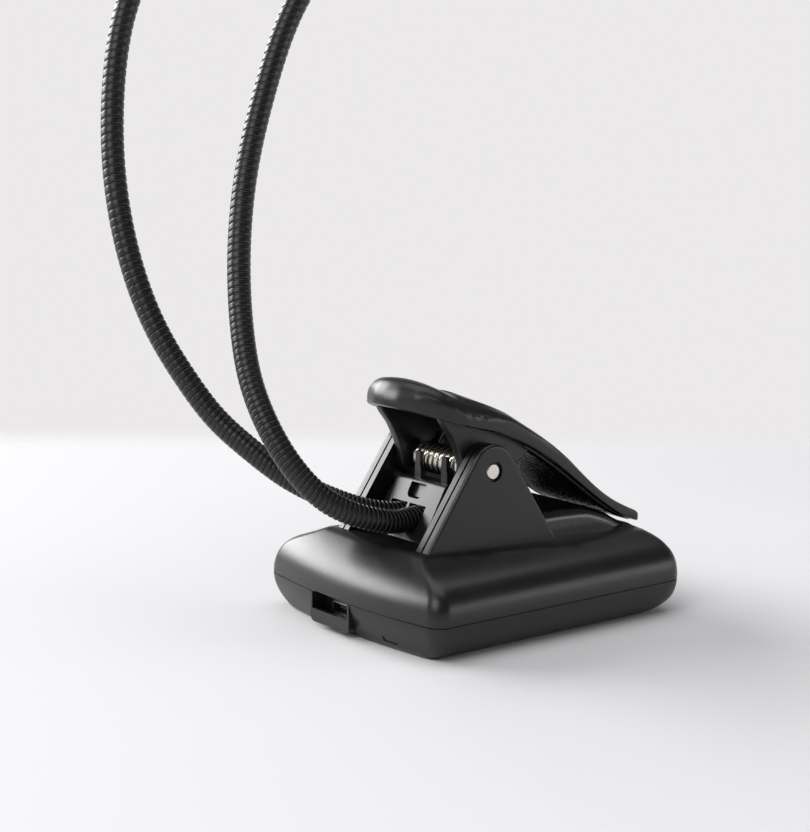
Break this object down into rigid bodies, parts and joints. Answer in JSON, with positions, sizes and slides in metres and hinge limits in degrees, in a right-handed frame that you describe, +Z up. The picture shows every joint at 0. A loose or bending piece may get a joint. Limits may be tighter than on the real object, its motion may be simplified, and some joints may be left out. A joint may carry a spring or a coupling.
{
  "type": "music stand lamp",
  "caption": "Clip-on lamp: a clamp base with a sprung lever between two ears, ribbed goosenecks rising from a block, and slim LED heads.",
  "frame": {"origin": "middle of the flat underside of the base", "axes": "+Z up, +X towards the jaw's tip, -X towards the charging port, the lamp's left side is +Y"},
  "size_m": [0.1322, 0.1288, 0.1798],
  "materials": {
    "housing_plastic": "satin, fine grain",
    "cover_plastic": "satin",
    "block_plastic": "satin, reflects the room as light grey",
    "pad_rubber": "smooth, semi-gloss",
    "neck_steel": "black, semi-gloss, ribbed",
    "nickel_steel": "bright nickel",
    "screw_steel": "zinc",
    "port_steel": "bright",
    "light_guide": "smoked, glossy",
    "battery_wrap": "wrapped cell",
    "board_green": "solder mask",
    "lens_plastic": "frosted, translucent",
    "led_package": "phosphor",
    "switch_plastic": "moulded",
    "button_rubber": "satin"
  },
  "bodies": {
    "base": {"lower_shell": "housing_plastic", "upper_shell": "housing_plastic", "case_screws": "screw_steel", "battery": "battery_wrap", "charge_board": "board_green", "usb_port": "port_steel", "charge_light": "light_guide", "neck_clamp": "block_plastic", "neck_cover": "block_plastic", "pivot_pin": "nickel_steel", "torsion_spring": "nickel_steel", "lower_jaw_pad": "pad_rubber", "right_neck_stretch_0": "neck_steel", "right_neck_flex_1": "neck_steel", "left_neck_stretch_0": "neck_steel", "left_neck_flex_1": "neck_steel"},
    "clamp_lever": {"lever": "housing_plastic", "upper_jaw_pad": "pad_rubber"},
    "right_neck_1": {"right_neck_stretch_1": "neck_steel", "right_neck_flex_2": "neck_steel"},
    "right_neck_2": {"right_neck_stretch_2": "neck_steel", "right_neck_flex_3": "neck_steel"},
    "right_neck_3": {"right_neck_stretch_3": "neck_steel", "right_neck_flex_4": "neck_steel"},
    "right_neck_4": {"right_neck_stretch_4": "neck_steel", "right_neck_flex_5": "neck_steel"},
    "right_neck_5": {"right_neck_stretch_5": "neck_steel", "right_neck_flex_6": "neck_steel"},
    "right_neck_6": {"right_neck_stretch_6": "neck_steel", "right_neck_collar": "cover_plastic", "right_head_cover": "cover_plastic", "right_head_frame": "cover_plastic", "right_head_lens": "lens_plastic", "right_light_board": "board_green", "right_leds": "led_package", "right_button_switch": "switch_plastic"},
    "right_button": {"right_head_button": "button_rubber"},
    "left_neck_1": {"left_neck_stretch_1": "neck_steel", "left_neck_flex_2": "neck_steel"},
    "left_neck_2": {"left_neck_stretch_2": "neck_steel", "left_neck_flex_3": "neck_steel"},
    "left_neck_3": {"left_neck_stretch_3": "neck_steel", "left_neck_flex_4": "neck_steel"},
    "left_neck_4": {"left_neck_stretch_4": "neck_steel", "left_neck_flex_5": "neck_steel"},
    "left_neck_5": {"left_neck_stretch_5": "neck_steel", "left_neck_flex_6": "neck_steel"},
    "left_neck_6": {"left_neck_stretch_6": "neck_steel", "left_neck_collar": "cover_plastic", "left_head_cover": "cover_plastic", "left_head_frame": "cover_plastic", "left_head_lens": "lens_plastic", "left_light_board": "board_green", "left_leds": "led_package", "left_button_switch": "switch_plastic"},
    "left_button": {"left_head_button": "button_rubber"}
  },
  "joints": [
    {"name": "clamp_hinge", "type": "hinge", "parent": "base", "child": "clamp_lever", "pos_m": [-0.00685, 0, 0.035], "axis": [0, -1, 0], "range_deg": [0, 28], "stiffness_Nm_per_rad": 0.4, "springref_deg": -28.65, "deforming": ["torsion_spring"]},
    {"name": "right_neck_1_bend", "type": "hinge", "parent": "base", "child": "right_neck_1", "pos_m": [-0.03274, 0.00218, 0.02652], "axis": [0.488, 0.8729, 0], "range_deg": [-17, 25], "deforming": ["right_neck_flex_1"]},
    {"name": "right_neck_2_bend", "type": "hinge", "parent": "right_neck_1", "child": "right_neck_2", "pos_m": [-0.04308, 0.02223, 0.0516], "axis": [0.0792, 0.8133, -0.5764], "range_deg": [-25, 25], "deforming": ["right_neck_flex_2"]},
    {"name": "right_neck_3_bend", "type": "hinge", "parent": "right_neck_2", "child": "right_neck_3", "pos_m": [-0.03621, 0.03809, 0.08189], "axis": [0.7924, -0.61, 0], "range_deg": [-25, 25], "deforming": ["right_neck_flex_3"]},
    {"name": "right_neck_4_bend", "type": "hinge", "parent": "right_neck_3", "child": "right_neck_4", "pos_m": [-0.02378, 0.04776, 0.11306], "axis": [0.8231, 0.3544, -0.4437], "range_deg": [-19, 25], "deforming": ["right_neck_flex_4"]},
    {"name": "right_neck_5_bend", "type": "hinge", "parent": "right_neck_4", "child": "right_neck_5", "pos_m": [-0.00733, 0.04937, 0.14366], "axis": [-0.2062, -0.9785, 0], "range_deg": [-25, 25], "deforming": ["right_neck_flex_5"]},
    {"name": "right_neck_6_bend", "type": "hinge", "parent": "right_neck_5", "child": "right_neck_6", "pos_m": [0.01348, 0.03459, 0.16642], "axis": [0.2431, -0.3363, -0.9098], "range_deg": [-25, 25], "deforming": ["right_neck_flex_6"]},
    {"name": "right_button_press", "type": "slide", "parent": "right_neck_6", "child": "right_button", "axis": [-0.0318, 0.0853, -0.9959], "range_m": [0, 0.0008], "stiffness_N_per_m": 600, "springref_m": -0.001},
    {"name": "left_neck_1_bend", "type": "hinge", "parent": "base", "child": "left_neck_1", "pos_m": [-0.03001, 0.01455, 0.02756], "axis": [0.7526, 0.6585, 0], "range_deg": [-25, 14], "deforming": ["left_neck_flex_1"]},
    {"name": "left_neck_2_bend", "type": "hinge", "parent": "left_neck_1", "child": "left_neck_2", "pos_m": [-0.04641, 0.03811, 0.04699], "axis": [-0.3899, 0.6443, -0.6579], "range_deg": [-25, 25], "deforming": ["left_neck_flex_2"]},
    {"name": "left_neck_3_bend", "type": "hinge", "parent": "left_neck_2", "child": "left_neck_3", "pos_m": [-0.05373, 0.05564, 0.07616], "axis": [0.9896, 0.1441, 0], "range_deg": [-25, 11], "deforming": ["left_neck_flex_3"]},
    {"name": "left_neck_4_bend", "type": "hinge", "parent": "left_neck_3", "child": "left_neck_4", "pos_m": [-0.05166, 0.06752, 0.10889], "axis": [0.5285, 0.795, -0.2978], "range_deg": [-25, 22], "deforming": ["left_neck_flex_4"]},
    {"name": "left_neck_5_bend", "type": "hinge", "parent": "left_neck_4", "child": "left_neck_5", "pos_m": [-0.04164, 0.07226, 0.14183], "axis": [0.0376, -0.9993, 0], "range_deg": [-25, 25], "deforming": ["left_neck_flex_5"]},
    {"name": "left_neck_6_bend", "type": "hinge", "parent": "left_neck_5", "child": "left_neck_6", "pos_m": [-0.01682, 0.0692, 0.16535], "axis": [0.3888, -0.0672, -0.9189], "range_deg": [-25, 17], "deforming": ["left_neck_flex_6"]},
    {"name": "left_button_press", "type": "slide", "parent": "left_neck_6", "child": "left_button", "axis": [0.0618, -0.0149, -0.998], "range_m": [0, 0.0008], "stiffness_N_per_m": 600, "springref_m": -0.001}
  ]
}
